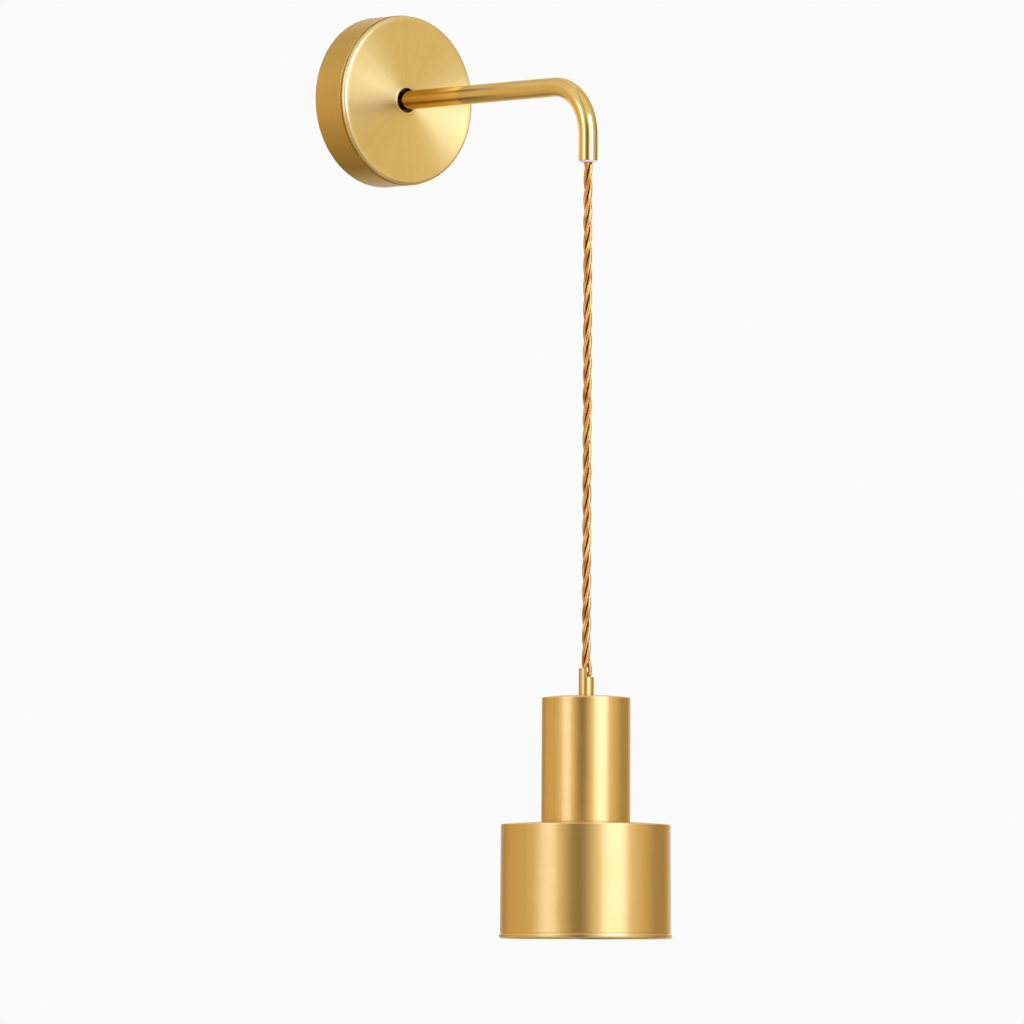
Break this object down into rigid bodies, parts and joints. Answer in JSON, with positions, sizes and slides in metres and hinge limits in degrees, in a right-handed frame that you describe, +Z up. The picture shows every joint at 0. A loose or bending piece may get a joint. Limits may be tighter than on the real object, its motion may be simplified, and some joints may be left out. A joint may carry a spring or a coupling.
{
  "type": "hanging pendant wall sconce",
  "caption": "Wall light: a round canopy and bent arm carry a stepped metal shade that hangs on a twisted textile cord.",
  "frame": {"origin": "centre of the canopy's back face, on the wall", "axes": "+Y into the wall, +Z up, +X to the right as seen from the room; the arm reaches along -Y and the lamp hangs along -Z"},
  "size_m": [0.122, 0.2866, 0.6619],
  "materials": {
    "satin_brass": "satin lacquered, fine turned grain",
    "plain_brass": "turned, uncoated",
    "zinc_steel": "bright zinc plated",
    "white_nylon": "moulded nylon",
    "black_rubber": "matt",
    "gold_textile": "woven rayon braid, twisted",
    "brown_insulation": "extruded",
    "blue_insulation": "extruded",
    "green_insulation": "extruded",
    "black_phenolic": "moulded, half gloss",
    "porcelain": "glazed"
  },
  "bodies": {
    "wall_arm": {"wall_plate": "zinc_steel", "arm_bracket": "zinc_steel", "bracket_rivets": "zinc_steel", "canopy_band": "satin_brass", "canopy_lid": "satin_brass", "band_screws": "plain_brass", "cable_grommet": "black_rubber", "terminal_block": "white_nylon", "terminal_barrels": "plain_brass", "terminal_screws": "zinc_steel", "block_screws": "zinc_steel", "earth_screw": "plain_brass", "earth_tag": "zinc_steel", "earth_link": "green_insulation", "lead_live": "brown_insulation", "lead_neutral": "blue_insulation", "lead_earth": "green_insulation", "arm_tube": "satin_brass", "arm_stub": "plain_brass", "arm_washer": "zinc_steel", "arm_nut": "plain_brass", "cord_anchor": "white_nylon", "anchor_screw": "zinc_steel", "mouth_bush": "white_nylon", "cord_in_arm": "gold_textile"},
    "cord_bend": {"cord_neck": "gold_textile"},
    "cord": {"cord_drop": "gold_textile"},
    "lamp": {"cord_tail": "gold_textile", "grip_body": "satin_brass", "grip_screw": "zinc_steel", "cup": "satin_brass", "cup_washer": "zinc_steel", "cup_nut": "plain_brass", "threaded_rod": "plain_brass", "holder_cap": "black_phenolic", "cap_earth_ring": "zinc_steel", "cap_nut": "plain_brass", "tail_live": "brown_insulation", "tail_neutral": "blue_insulation", "tail_earth": "green_insulation", "holder_body": "black_phenolic", "holder_insert": "porcelain", "holder_terminals": "plain_brass", "holder_screws": "zinc_steel", "screw_shell": "plain_brass", "centre_contact": "plain_brass", "shade": "satin_brass", "shade_ring": "black_phenolic"}
  },
  "joints": [
    {"name": "swing_to_wall", "type": "hinge", "parent": "wall_arm", "child": "cord_bend", "pos_m": [0, -0.226, -0.0552], "axis": [1, 0, 0], "range_deg": [-30, 17]},
    {"name": "swing_sideways", "type": "hinge", "parent": "cord_bend", "child": "cord", "pos_m": [0, -0.226, -0.0552], "axis": [0, 1, 0], "range_deg": [-30, 30]},
    {"name": "lamp_turn", "type": "hinge", "parent": "cord", "child": "lamp", "pos_m": [0, -0.226, -0.4174], "axis": [0, 0, 1], "range_deg": [-90, 90]}
  ]
}
